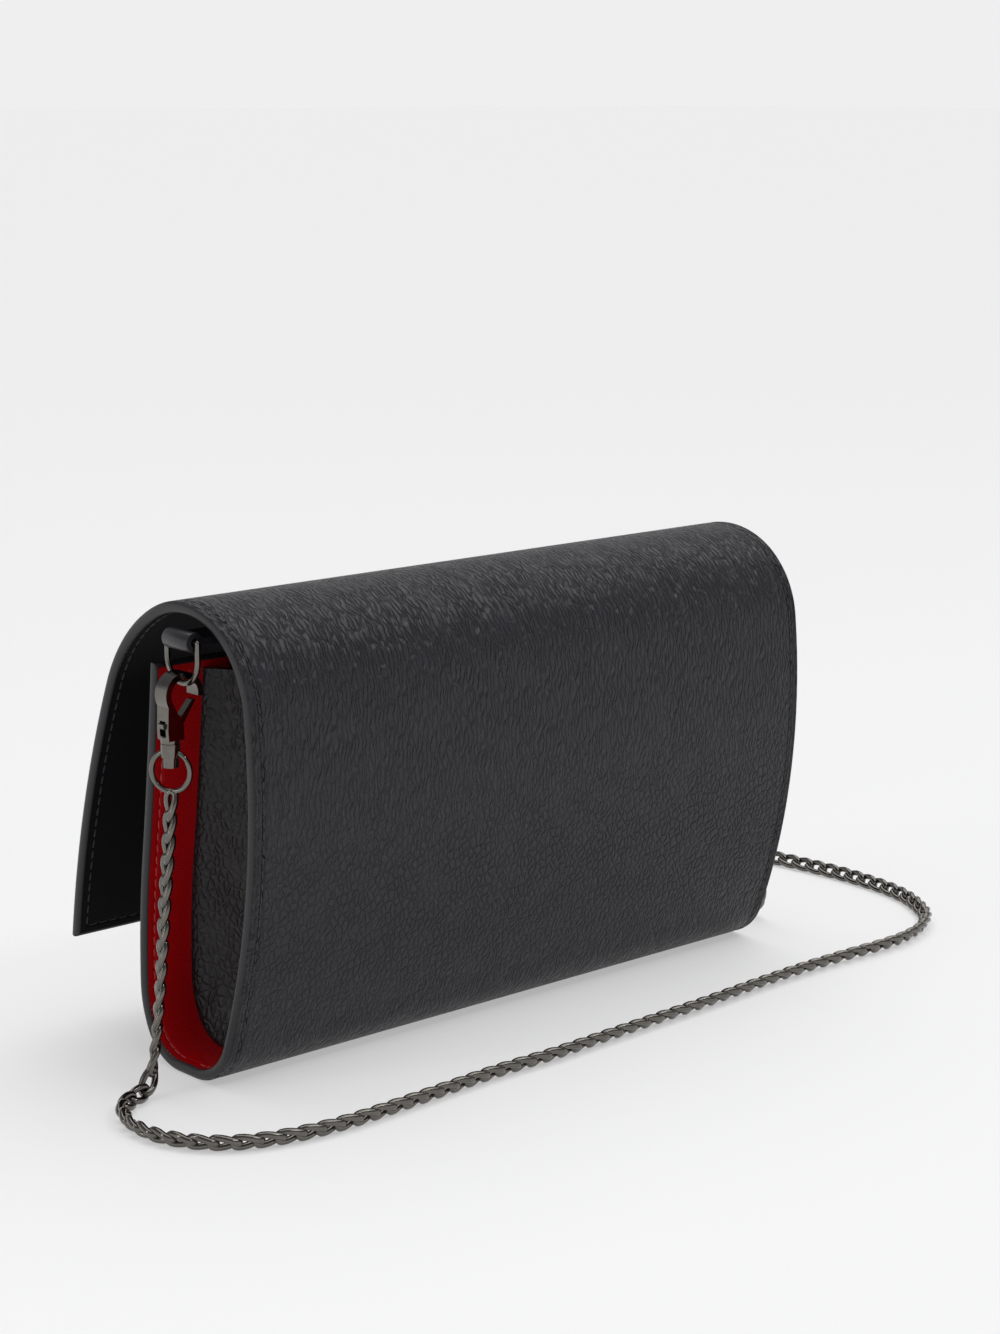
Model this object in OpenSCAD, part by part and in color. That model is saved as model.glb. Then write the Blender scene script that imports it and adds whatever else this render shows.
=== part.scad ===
// Wallet on a chain: a stiff leather wrap with a hanging flap, folded end gussets,
// a zipped coin pocket, card slots, and a curb chain on two swivel snap hooks.
// +Z is up, X runs along the length, the back panel faces +Y and the flap hangs at -Y.
// The origin is the middle of the flat bottom.

/* [Body] */
// Length of the wallet along X
body_len = 195; // [150:1:230]
// Width of the flat under the bottom, behind the origin
flat_back = 4.5; // [3:0.5:8]
// Width of the flat under the bottom, in front of the origin
flat_front = 3; // [2:0.5:6]
// Height of the back panel, measured along its curve
back_panel = 91; // [75:1:105]
// How much shorter the front panel's curve is than the back's
front_short = 5; // [3:0.5:15]
// How much shorter the flap's panel is than the back's, along the curve
flap_short = 16; // [11:1:35]
// Distance from the crown down to the gusset tops
gusset_down = 20.25; // [18:0.25:30]

/* [Layers] */
// Thickness of the outer leather
leather_t = 1.2; // [0.8:0.1:1.6]
// Thickness of the stiffening board
board_t = 0.8; // [0.5:0.1:1.2]
// Thickness of the smooth lining
lining_t = 1.0; // [0.6:0.1:1.4]
// Thickness of the gusset leather
gusset_t = 1.2; // [0.8:0.1:1.6]
// Thickness of one card slot layer
slot_t = 0.8; // [0.6:0.1:1.0]

/* [Gussets] */
// How far a gusset's sewn edge sits in from the end
gusset_inset = 14.5; // [10:0.5:18]
// How much deeper its fold goes
gusset_fold = 6.5; // [4:0.5:9]

/* [Coin pocket] */
// Depth of the pocket, front to back
pocket_depth = 11; // [8:0.5:12]
// Height of the pocket's bottom
pocket_floor = 6; // [5:0.5:12]
// Distance from the gusset tops down to the zip
pocket_down = 6; // [5:0.5:12]
// Thickness of the pocket's wall
pocket_t = 1.0; // [0.6:0.1:1.4]
// Distance from one tooth to the next on the same side
tooth_pitch = 3; // [2.4:0.1:3.6]
// Width of the gap between the two tapes
tape_gap = 1.2; // [1:0.1:1.6]

/* [Strap fittings] */
// Width of the leather ring tab
tab_w = 10.5; // [8:0.5:12]
// Thickness of the ring tab's leather
tab_t = 1.7; // [1.2:0.1:2]
// Diameter of the D-ring's wire
ring_wire = 1.5; // [1.2:0.1:1.8]
// Outer height of the D-ring
ring_h = 12.4; // [11.5:0.1:14]
// Outer radius of the hook's bow
bow_r = 5.6; // [5:0.1:6.2]
// Thickness of the hook's bow
bow_t = 1.6; // [1.2:0.1:1.8]
// Width of the hook
hook_w = 4.8; // [4.4:0.1:5.4]
// Diameter of the gate's pin
pin_d = 1.2; // [1:0.1:1.4]
// Diameter of the swivel barrel
barrel_d = 4.8; // [4.2:0.1:5.2]
// Outer diameter of the jump ring
jump_d = 11.8; // [10.5:0.1:13]
// Diameter of the jump ring's wire
jump_wire = 1.4; // [1.2:0.1:1.6]
// Turn of the jump ring away from the end of the wallet
jump_turn = 30; // [0:5:45]

/* [Snap] */
// Diameter of the magnetic snap
snap_d = 14; // [11:0.5:16]
// Distance from the snap to the flap's edge, along the flap
snap_up = 16; // [12:0.5:20]

/* [Chain] */
// Width of the curb chain
chain_d = 4.4; // [3.6:0.2:5]

/* [Hidden] */

black = "#2b2b30";
navy = "#0b0c12";
red = "#b00a12";
gunmetal = "#5a5856";
card = "#8a7f6a";

half_len = body_len / 2;
wrap_t = leather_t + board_t + lining_t;
sink = 0.05;

// The wrap's outer face is a chain of arcs: [length along the arc, degrees turned].
flap_panel = back_panel - flap_short;
// Back: flat, bottom corner, panel, shoulder, crown, front shoulder, flap.
back_arcs = [[flat_back, 0], [19.2, 69.3], [back_panel, 27.2], [28.5, 62], [22.5, 44.5], [33, 43.8],
    [flap_panel, 15.6]];
// Front: flat, bottom corner in two arcs, then the panel, which leans out and then back.
front_low = 35;
front_panel = back_panel - front_short;
front_arcs = [[flat_front, 0], [16, -62], [13, -28], [front_low, -8], [front_panel - front_low, 3]];
arc_step = 3;

function seg_at(from, seg, s) = seg[1] == 0
    ? [from[0] + s * cos(from[2]), from[1] + s * sin(from[2]), from[2]]
    : let(r = seg[0] * 180 / (seg[1] * PI), turned = from[2] + seg[1] * s / seg[0])
      [from[0] + r * (sin(turned) - sin(from[2])), from[1] - r * (cos(turned) - cos(from[2])), turned];
function walk(from, arcs, s, i = 0) = (s <= arcs[i][0] || i == len(arcs) - 1)
    ? seg_at(from, arcs[i], s)
    : walk(seg_at(from, arcs[i], arcs[i][0]), arcs, s - arcs[i][0], i + 1);
function sum_to(arcs, n, i = 0) = i >= n ? 0 : arcs[i][0] + sum_to(arcs, n, i + 1);

// A point on the back or front run, s along it and d in from the outer face.
function back_at(s, d) = let(p = walk([0, 0, 0], back_arcs, s)) [p[0] - d * sin(p[2]), p[1] + d * cos(p[2])];
function front_at(s, d) = let(p = walk([0, 0, 180], front_arcs, s))
    [p[0] + d * sin(p[2]), p[1] - d * cos(p[2])];
function back_turn(s) = walk([0, 0, 0], back_arcs, s)[2];
function front_turn(s) = walk([0, 0, 180], front_arcs, s)[2];
function stops(s0, s1) = concat([s0],
    [for (k = [floor(s0 / arc_step) + 1 : ceil(s1 / arc_step) - 1]) k * arc_step], [s1]);
function flip(list) = [for (i = [len(list) - 1 : -1 : 0]) list[i]];
function back_line(s0, s1, d) = [for (s = stops(s0, s1)) back_at(s, d)];
function front_line(s0, s1, d) = [for (s = stops(s0, s1)) front_at(s, d)];
function around(s_front, s_back, d) = concat(flip(front_line(arc_step, s_front, d)), back_line(0, s_back, d));

// Where each run changes hands.
front_end = sum_to(front_arcs, len(front_arcs));
front_root = sum_to(front_arcs, 3);
front_gap = 0.8;
red_end = sum_to(back_arcs, 3);
bend_from = sum_to(back_arcs, 4);
bend_to = sum_to(back_arcs, 5);
back_end = sum_to(back_arcs, len(back_arcs));
seam = 0.02;

// The crown is the highest point of the wrap, where its arc has turned to level.
crown = back_arcs[4];
crown_s = bend_from + crown[0] * (180 - back_turn(bend_from)) / crown[1];
gusset_top = back_at(crown_s, 0)[1] - gusset_down;
pocket_top = gusset_top - pocket_down;

module along_x(x0, x1) {
    translate([x0, 0, 0]) rotate([90, 0, 90]) linear_extrude(x1 - x0) children();
}
module back_layer(s0, s1, d0, d1) {
    along_x(-half_len, half_len) polygon(concat(back_line(s0, s1, d0), flip(back_line(s0, s1, d1))));
}
module front_layer(d0, d1) {
    s0 = front_root + front_gap;
    along_x(-half_len, half_len)
        polygon(concat(front_line(s0, front_end, d0), flip(front_line(s0, front_end, d1))));
}
module shell_layer(s_back, d0, d1) {
    along_x(-half_len, half_len)
        polygon(concat(around(front_root, s_back, d0), flip(around(front_root, s_back, d1))));
}

board_in = leather_t + board_t;
module shell_leather() { color(black) shell_layer(bend_from, 0, leather_t); }
module shell_board() { color(card) shell_layer(bend_from, leather_t, board_in); }
module shell_lining() { color(red) shell_layer(red_end, board_in, wrap_t); }
module arch_lining() { color(navy) back_layer(red_end, bend_from, board_in, wrap_t); }
module bend_leather() { color(black) back_layer(bend_from, bend_to, 0, leather_t); }
module bend_lining() { color(navy) back_layer(bend_from, bend_to - seam, leather_t, wrap_t); }
module flap_leather() { color(black) back_layer(bend_to, back_end, 0, leather_t); }
module flap_lining() {
    color(navy) back_layer(bend_to, back_end, board_in, wrap_t);
}
module front_leather() { color(black) front_layer(0, leather_t); }
module front_lining() { color(red) front_layer(board_in, wrap_t); }

// The magnetic snap: a socket on the front panel and a stud inside the flap. Each is held by a plate
// that fills a round window in the board behind it.
snap_hole_d = 5;
stud_d = 3.6;
socket_t = 1.6;
stud_plate_t = 0.9;
stud_l = 1.2;
plate_d = snap_d - 3;
flap_snap_s = back_end - snap_up;
closing_shift = 16;
front_snap_s = front_end - flap_panel + snap_up - closing_shift;
flat_seat = 0.2;
module on_flap(d) {
    p = back_at(flap_snap_s, d);
    translate([0, p[0], p[1]]) rotate([back_turn(flap_snap_s), 0, 0]) children();
}
module on_front(d) {
    p = front_at(front_snap_s, d);
    translate([0, p[0], p[1]]) rotate([front_turn(front_snap_s), 0, 0]) children();
}
module flap_board() {
    color(card) difference() {
        back_layer(bend_to, back_end, leather_t, board_in);
        on_flap(leather_t - 1) cylinder(d = plate_d, h = board_t + 2, $fn = 64);
    }
}
module front_board() {
    color(card) difference() {
        front_layer(leather_t, board_in);
        on_front(board_in + 1) cylinder(d = plate_d, h = board_t + 2, $fn = 64);
    }
}
module snap_socket() {
    color(gunmetal) on_front(-flat_seat) difference() {
        cylinder(d = snap_d, h = socket_t, $fn = 64);
        translate([0, 0, socket_t - stud_l - 0.2]) cylinder(d = snap_hole_d, h = stud_l + 1, $fn = 48);
    }
}
module snap_socket_plate() {
    color(gunmetal) on_front(board_in - flat_seat / 2)
        cylinder(d = plate_d - flat_seat, h = board_t - flat_seat, $fn = 64);
}
module snap_stud() {
    color(gunmetal) on_flap(wrap_t + flat_seat) {
        cylinder(d = snap_d - 1, h = stud_plate_t, $fn = 64);
        cylinder(d = stud_d, h = stud_plate_t + stud_l, $fn = 48);
    }
}
module snap_stud_plate() {
    color(gunmetal) on_flap(leather_t + flat_seat / 2)
        cylinder(d = plate_d - flat_seat, h = board_t - flat_seat, $fn = 64);
}

// The end gussets: a V in plan, cut to the inside of the wrap.
gusset_x = half_len - gusset_inset;
fold_y = pocket_depth / 2;
reach = 40;
module inside(x0, x1) {
    along_x(x0, x1) intersection() {
        polygon(around(front_end, red_end, wrap_t));
        translate([-reach, 0]) square([2 * reach, gusset_top]);
    }
}
module gusset() {
    tip = gusset_x - gusset_fold;
    intersection() {
        linear_extrude(gusset_top + 1) polygon([[gusset_x, -reach], [tip, fold_y], [gusset_x, reach],
            [gusset_x - gusset_t, reach], [tip - gusset_t, fold_y], [gusset_x - gusset_t, -reach]]);
        inside(tip - 2 * gusset_t, half_len);
    }
}
module gusset_right() { color(black) gusset(); }
module gusset_left() { color(black) mirror([1, 0, 0]) gusset(); }

// Card slots: layers laid on the back lining, each shorter than the one behind it.
card_inset = 17;
card_half = gusset_x - card_inset;
slot_foot = 48;
slot_step = 11;
module slot_layer(k) {
    d0 = wrap_t + k * slot_t;
    s1 = red_end - 9 - slot_step * k;
    along_x(-card_half, card_half)
        polygon(concat(back_line(slot_foot, s1, d0), flip(back_line(slot_foot, s1, d0 + slot_t))));
}
module card_panel() { color(red) slot_layer(0); }
module card_slot_top() { color(red) slot_layer(1); }
module card_slot_middle() { color(red) slot_layer(2); }
module card_slot_bottom() { color(red) slot_layer(3); }

// The coin pocket hangs between the gusset folds and closes with a zip.
tail_t = tab_t + 0.6;
pocket_half = gusset_x - gusset_fold - gusset_t - tail_t;
tape_t = 0.8;
tooth_w = tooth_pitch / 2 - 0.2;
tooth_h = 1.2;
tooth_len = 2.3;
bite = 0.4;
teeth_from = -pocket_half + 14;
teeth_n = floor((2 * pocket_half - 31) / tooth_pitch);
module pocket_shell() {
    color(red) difference() {
        translate([-pocket_half, 0, pocket_floor])
            cube([2 * pocket_half, pocket_depth, pocket_top - pocket_floor]);
        translate([-pocket_half + pocket_t, pocket_t, pocket_floor + pocket_t])
            cube([2 * (pocket_half - pocket_t), pocket_depth - 2 * pocket_t, pocket_top - pocket_floor]);
    }
}
module tape(y0, y1) {
    translate([-pocket_half, y0, pocket_top]) cube([2 * pocket_half, y1 - y0, tape_t]);
}
module zip_tape_front() { color(navy) tape(0, fold_y - tape_gap / 2); }
module zip_tape_back() { color(navy) tape(fold_y + tape_gap / 2, pocket_depth); }
module zip_teeth() {
    color(gunmetal) for (i = [0 : teeth_n - 1]) {
        x = teeth_from + i * tooth_pitch;
        translate([x, fold_y - tooth_len + bite, pocket_top + tape_t]) cube([tooth_w, tooth_len, tooth_h]);
        translate([x + tooth_pitch / 2, fold_y - bite, pocket_top + tape_t])
            cube([tooth_w, tooth_len, tooth_h]);
    }
}
stop_h = 1.8;
module zip_stops() {
    for (x = [-pocket_half + 1.5, teeth_from + teeth_n * tooth_pitch + 1])
        color(gunmetal) translate([x, fold_y - 2.4, pocket_top + tape_t]) cube([1.6, 4.8, stop_h]);
}

// The slider stands at the closed end of the teeth and its pull lies along them.
slider_x = -pocket_half + 8.5;
slider_l = 8;
slider_w = 6.4;
slider_gap = 0.25;
plate_t = 0.9;
post_w = 0.7;
ear_z = pocket_top + tape_t + tooth_h + slider_gap + plate_t;
pull_pin_z = ear_z + 1.4;
ear_y = 0.7;
barrel_y = 1.9;
module zip_slider() {
    top_z = ear_z - plate_t;
    low_z = pocket_top - slider_gap - plate_t;
    color(gunmetal) translate([slider_x, fold_y, 0]) {
        translate([-slider_l / 2, -slider_w / 2, top_z]) cube([slider_l, slider_w, plate_t]);
        translate([-slider_l / 2, -slider_w / 2, low_z]) cube([slider_l, slider_w, plate_t]);
        translate([-slider_l / 2, -post_w / 2, low_z]) cube([3, post_w, top_z - low_z + plate_t]);
        for (y = [-slider_w / 2, slider_w / 2 - ear_y])
            translate([-slider_l / 2, y, top_z - tooth_h + 0.1]) cube([slider_l, ear_y, tooth_h]);
        for (y = [-barrel_y / 2 - 0.2 - ear_y, barrel_y / 2 + 0.2])
            translate([-1.2, y, ear_z - sink]) cube([2.4, ear_y, 2.4]);
        translate([0, barrel_y / 2 + 0.2 + ear_y, pull_pin_z]) rotate([90, 0, 0])
            cylinder(d = 0.9, h = barrel_y + 0.4 + 2 * ear_y, $fn = 24);
    }
}
pull_l = 17;
pull_w = 3.6;
module zip_puller() {
    color(gunmetal) translate([slider_x, fold_y, pull_pin_z]) {
        difference() {
            union() {
                translate([0, barrel_y / 2, 0]) rotate([90, 0, 0]) cylinder(d = 2, h = barrel_y, $fn = 32);
                translate([0, -barrel_y / 2, -0.45]) cube([4, barrel_y, 0.9]);
                translate([3.2, -pull_w / 2, -0.45]) cube([pull_l - 3.2 - pull_w / 2, pull_w, 0.9]);
                translate([pull_l - pull_w / 2, 0, -0.45]) cylinder(d = pull_w, h = 0.9, $fn = 32);
            }
            translate([0, barrel_y, 0]) rotate([90, 0, 0]) cylinder(d = 1.06, h = 2 * barrel_y, $fn = 24);
            translate([pull_l - pull_w / 2, 0, -1]) cylinder(d = 1.6, h = 2, $fn = 24);
        }
    }
}

// Strap fittings at the right end; the left ones are mirrored. The tab is one strap folded around the
// D-ring's bar and sewn between the gusset and the pocket's end.
bar_rise = 11.3;
bar_out = 22.5;
bar_z = gusset_top + bar_rise;
bar_x = gusset_x - gusset_fold + bar_out;
clasp_y = fold_y;
loop_gap = 0.15;
loop_r = ring_wire / 2 + loop_gap;
tail_x = gusset_x - gusset_fold - gusset_t - tail_t;
tail_low = pocket_top - 12;
module sided(left) {
    if (left) mirror([1, 0, 0]) children();
    else children();
}
module ring_tab(left) {
    color(black) sided(left) translate([0, clasp_y + tab_w / 2, 0]) rotate([90, 0, 0])
        linear_extrude(tab_w) difference() {
            union() {
                translate([bar_x, bar_z]) circle(r = loop_r + tab_t, $fn = 64);
                translate([tail_x, bar_z - tail_t / 2]) square([bar_x - tail_x, tail_t]);
                translate([tail_x, tail_low]) square([tail_t, bar_z - tail_low]);
            }
            translate([bar_x, bar_z]) circle(r = loop_r, $fn = 48);
        }
}
module ring_tab_right() { ring_tab(false); }
module ring_tab_left() { ring_tab(true); }

// The D-ring hangs across the end: a bar through the tab, two short sides and a half circle.
ring_in = tab_w + 0.8;
ring_mid = (ring_in + ring_wire) / 2;
ring_drop = ring_h - ring_wire;
side_l = ring_drop - ring_mid;
module d_ring(left) {
    color(gunmetal) sided(left) translate([bar_x, clasp_y, bar_z]) {
        rotate([90, 0, 0]) translate([0, 0, -ring_mid]) cylinder(d = ring_wire, h = 2 * ring_mid, $fn = 32);
        for (y = [-ring_mid, ring_mid]) {
            translate([0, y, 0]) sphere(d = ring_wire, $fn = 32);
            translate([0, y, -side_l]) cylinder(d = ring_wire, h = side_l, $fn = 32);
        }
        translate([0, 0, -side_l]) rotate([0, 90, 0]) rotate([0, 0, -90])
            rotate_extrude(angle = 180, $fn = 64) translate([ring_mid, 0]) circle(d = ring_wire, $fn = 32);
    }
}
module d_ring_right() { d_ring(false); }
module d_ring_left() { d_ring(true); }

// The snap hook: a bow over the D-ring, a back that comes down to a collar, and a sprung gate.
wire_z = bar_z - ring_drop;
bow_out = 1.3;
bow_x = bar_x + bow_out;
bow_in = bow_r - bow_t;
bow_clear = 0.15;
// The ring's round bottom climbs across the width of the hook, and the bow hangs clear of it there.
ring_rise = ring_mid - sqrt(pow(ring_mid, 2) - pow(hook_w / 2, 2));
bow_hang = sqrt(pow(bow_in - ring_wire / 2 - bow_clear, 2) - pow(bow_out, 2));
bow_z = wire_z + ring_rise - bow_hang;
collar_x = bow_x + 3;
collar_z = bow_z - 12;
collar_h = 1.6;
pin_x = collar_x - 1.5;
pin_z = collar_z + collar_h + 1.9;
cheek = 1.15;
slot_w = hook_w - 2 * cheek;
window_h = 3.9;
nose_deg = 205;
function ring_arc(r, a0, a1, n) = [for (k = [0 : n]) let(a = a0 + (a1 - a0) * k / n)
    [bow_x + r * cos(a), bow_z + r * sin(a)]];
module hook_outline() {
    polygon(concat(ring_arc(bow_r, -28, nose_deg - 15, 36), ring_arc(bow_in, nose_deg - 15, -28, 36)));
    polygon([[bow_x + bow_in * cos(28), bow_z - bow_in * sin(28)], [collar_x - 2.6, pin_z + 0.6],
        [collar_x - 2.6, collar_z + collar_h / 2], [collar_x + 2, collar_z + collar_h / 2],
        [collar_x + 2.2, pin_z], [bow_x + bow_r * cos(28), bow_z - bow_r * sin(28)]]);
}
module pin_hole(d) {
    translate([pin_x, clasp_y + hook_w, pin_z]) rotate([90, 0, 0]) cylinder(d = d, h = 2 * hook_w, $fn = 32);
}
module hook_body(left) {
    color(gunmetal) sided(left) difference() {
        union() {
            translate([0, clasp_y + hook_w / 2, 0]) rotate([90, 0, 0]) linear_extrude(hook_w) hook_outline();
            translate([collar_x, clasp_y, collar_z]) cylinder(d = barrel_d, h = collar_h, $fn = 48);
        }
        translate([collar_x - 6, clasp_y - slot_w / 2, collar_z + collar_h + 0.2])
            cube([7, slot_w, 6.2]);
        translate([collar_x, clasp_y - slot_w / 2, collar_z + collar_h + 0.2])
            cube([4, slot_w, window_h]);
        pin_hole(pin_d);
    }
}
module hook_body_right() { hook_body(false); }
module hook_body_left() { hook_body(true); }

gate_t = 1.2;
gate_clear = 0.15;
gate_w = slot_w - 2 * gate_clear;
tip_x = bow_x + (bow_in + 0.4) * cos(nose_deg - 9);
tip_z = bow_z + (bow_in + 0.4) * sin(nose_deg - 9) - 0.6;
module hook_gate(left) {
    color(gunmetal) sided(left) difference() {
        translate([0, clasp_y + gate_w / 2, 0]) rotate([90, 0, 0]) linear_extrude(gate_w) {
            translate([pin_x, pin_z]) circle(r = 1.1, $fn = 32);
            polygon([[pin_x - 1, pin_z - 0.4], [pin_x + 0.5, pin_z + 0.9], [tip_x + gate_t, tip_z],
                [tip_x, tip_z]]);
            polygon([[pin_x + 0.3, pin_z - 1], [pin_x + 3, pin_z - 0.5], [pin_x + 4.2, pin_z + 0.4],
                [pin_x + 4.4, pin_z + 1.5], [pin_x + 3.8, pin_z + 1.7], [pin_x + 3.4, pin_z + 0.9],
                [pin_x + 2.6, pin_z + 0.4], [pin_x + 0.3, pin_z + 0.6]]);
        }
        pin_hole(pin_d + 0.12);
    }
}
module hook_gate_right() { hook_gate(false); }
module hook_gate_left() { hook_gate(true); }
module gate_pin(left) {
    color(gunmetal) sided(left) translate([pin_x, clasp_y + hook_w / 2, pin_z]) rotate([90, 0, 0])
        cylinder(d = pin_d, h = hook_w, $fn = 32);
}
module gate_pin_right() { gate_pin(false); }
module gate_pin_left() { gate_pin(true); }

// A leaf spring in the slot, from the back of the hook to the gate.
leaf_w = gate_w - 0.4;
module gate_spring(left) {
    x = collar_x + 0.95;
    z = collar_z + collar_h + 6.2;
    color("silver") sided(left) translate([0, clasp_y + leaf_w / 2, 0]) rotate([90, 0, 0])
        linear_extrude(leaf_w) polygon([[x, z], [x, z - 0.6], [x - 1.5, z - 0.8], [x - 3.6, z - 1.4],
            [x - 3.8, z - 1.15], [x - 1.6, z - 0.5], [x - 0.3, z - 0.3], [x - 0.3, z]]);
}
module gate_spring_right() { gate_spring(false); }
module gate_spring_left() { gate_spring(true); }

// The barrel turns under the collar, and the jump ring runs through the hole across it.
barrel_h = 6;
barrel_top = collar_z - 0.15;
eye_z = barrel_top - 1.9;
jump_mid = (jump_d - jump_wire) / 2;
jump_z = eye_z - jump_mid;
module swivel_barrel(left) {
    color(gunmetal) sided(left) translate([collar_x, clasp_y, 0]) difference() {
        union() {
            translate([0, 0, barrel_top - 3.4]) cylinder(d = barrel_d, h = 3.4, $fn = 48);
            translate([0, 0, barrel_top - barrel_h]) cylinder(d = barrel_d - 0.8, h = barrel_h, $fn = 48);
        }
        rotate([0, 0, jump_turn]) translate([0, 0, jump_z]) rotate([0, 90, 0])
            rotate_extrude($fn = 96) translate([jump_mid, 0]) circle(d = jump_wire + 0.3, $fn = 32);
    }
}
module swivel_barrel_right() { swivel_barrel(false); }
module swivel_barrel_left() { swivel_barrel(true); }
module jump_ring(left) {
    color(gunmetal) sided(left) translate([collar_x, clasp_y, jump_z]) rotate([0, 0, jump_turn])
        rotate([0, 90, 0]) rotate_extrude($fn = 96) translate([jump_mid, 0])
            circle(d = jump_wire, $fn = 32);
}
module jump_ring_right() { jump_ring(false); }
module jump_ring_left() { jump_ring(true); }

// The chain hangs from one jump ring, runs on the floor and comes up to the other. Its route is drawn for
// one size of wallet. The lengths on the floor move with the wallet's ends, the hanging ones with the rings.
chain_z = chain_d / 2 + 0.1;
low_z = chain_z + 0.3;
hang_z = jump_z - jump_d / 2 - 0.1;
drawn_half = 97.5;
drawn_hang = [103.3, 5.5, 75.8];
drawn_middle = 60;
near_floor = 5;
function climb(p) = p[2] > near_floor ? p[2] / drawn_hang[2] : 0;
function fitted(p) = let(up = climb(p),
        out = (half_len - drawn_half) * (1 - up) + (collar_x - drawn_hang[0]) * up)
    [p[0] + out * max(-1, min(1, p[0] / drawn_middle)), p[1] + (clasp_y - drawn_hang[1]) * up,
        up > 0 ? up * hang_z : p[2]];
right_drawn = [drawn_hang, [105, 6, 62], [106.4, 6, 49], [107.6, 6, 36], [108.8, 6, 24],
    [110, 6, 15], [111.5, 6.5, 8.5], [113.5, 7.5, 4.6], [116, 8.8, low_z], [119, 10, chain_z],
    [123, 12, chain_z], [127, 16, chain_z], [130, 22, chain_z], [131, 29, chain_z], [130, 37, chain_z],
    [126, 45, chain_z], [120, 51, chain_z], [112, 55, chain_z], [102, 57.5, chain_z], [90, 58.5, chain_z],
    [75, 58, chain_z], [58, 57, chain_z], [40, 56, chain_z], [20, 56, chain_z], [0, 55, chain_z],
    [-20, 54, chain_z], [-40, 53, chain_z], [-60, 51.5, chain_z], [-80, 50.5, chain_z],
    [-98, 50.5, chain_z], [-115, 51, chain_z], [-127, 50, chain_z], [-138, 46.5, chain_z],
    [-147, 40.5, chain_z], [-153, 33, chain_z], [-158, 24, chain_z], [-161, 14, chain_z],
    [-162.5, 3, chain_z], [-163, -8, chain_z], [-162.5, -20, chain_z]];
left_drawn = [[-162.5, -20, chain_z], [-161, -34, chain_z], [-157, -49, chain_z], [-151, -62, chain_z],
    [-142, -73, chain_z], [-130, -82, chain_z], [-114, -88, chain_z], [-92, -90, chain_z],
    [-68, -90, chain_z], [-44, -90, chain_z], [-20, -90, chain_z], [4, -90, chain_z],
    [20, -89.5, chain_z], [31, -86, chain_z], [36, -78, chain_z], [31, -70, chain_z],
    [20, -66.5, chain_z], [0, -66, chain_z], [-24, -66, chain_z], [-48, -66, chain_z],
    [-72, -66, chain_z], [-89, -62.5, chain_z], [-102, -53, chain_z], [-110, -40, chain_z],
    [-114, -26, chain_z], [-115, -12, chain_z], [-114.5, -3, low_z], [-113, 2.5, 4.6],
    [-111.5, 5, 8.5], [-110, 6, 15], [-108.8, 6, 24], [-107.6, 6, 36], [-106.4, 6, 49], [-105, 6, 62],
    [-drawn_hang[0], drawn_hang[1], drawn_hang[2]]];
right_route = [for (p = right_drawn) fitted(p)];
left_route = [for (p = left_drawn) fitted(p)];
chain_sides = 8;

function unit(v) = v / norm(v);
function way(r, i) = unit(r[min(i + 1, len(r) - 1)] - r[max(i - 1, 0)]);
function ring_side(t, ref) = unit(ref - (ref * t) * t);
// Each ring starts from the side of the ring before it, so the tube doesn't twist.
function sides(r, i = 0, ref = [0, 1, 0]) = i == len(r) ? []
    : let(s = ring_side(way(r, i), ref)) concat([s], sides(r, i + 1, s));
function tube_ring(c, t, s) = let(u = cross(t, s)) [for (k = [0 : chain_sides - 1])
    let(a = 360 * (k + 0.5) / chain_sides) c + chain_d / 2 * (cos(a) * s + sin(a) * u)];
module chain_tube(r, tangent0, tangent1, side0) {
    n = len(r);
    ways = [for (i = [0 : n - 1]) i == 0 ? tangent0 : i == n - 1 ? tangent1 : way(r, i)];
    s = sides(r, 0, side0);
    points = [for (i = [0 : n - 1]) each tube_ring(r[i], ways[i], ring_side(ways[i], s[i]))];
    walls = [for (i = [0 : n - 2]) for (k = [0 : chain_sides - 1])
        let(a = i * chain_sides + k, b = i * chain_sides + (k + 1) % chain_sides)
        [a, b, b + chain_sides, a + chain_sides]];
    cap0 = [for (k = [chain_sides - 1 : -1 : 0]) k];
    cap1 = [for (k = [0 : chain_sides - 1]) (n - 1) * chain_sides + k];
    color(gunmetal) polyhedron(points = points, faces = concat(walls, [cap0, cap1]));
}
meet_way = unit(left_route[1] - right_route[len(right_route) - 2]);
module chain_right() { chain_tube(right_route, [0, 0, -1], meet_way, [0, 1, 0]); }
module chain_left() { chain_tube(left_route, meet_way, [0, 0, 1], [0, 0, 1]); }

shell_leather();
shell_board();
shell_lining();
arch_lining();
bend_leather();
bend_lining();
flap_leather();
flap_board();
flap_lining();
front_leather();
front_board();
front_lining();
gusset_right();
gusset_left();
card_panel();
card_slot_top();
card_slot_middle();
card_slot_bottom();
pocket_shell();
zip_tape_front();
zip_tape_back();
zip_teeth();
zip_stops();
zip_slider();
zip_puller();
snap_socket();
snap_socket_plate();
snap_stud();
snap_stud_plate();
ring_tab_right();
ring_tab_left();
d_ring_right();
d_ring_left();
hook_body_right();
hook_body_left();
hook_gate_right();
hook_gate_left();
gate_pin_right();
gate_pin_left();
gate_spring_right();
gate_spring_left();
swivel_barrel_right();
swivel_barrel_left();
jump_ring_right();
jump_ring_left();
chain_right();
chain_left();
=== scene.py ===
import math

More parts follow.
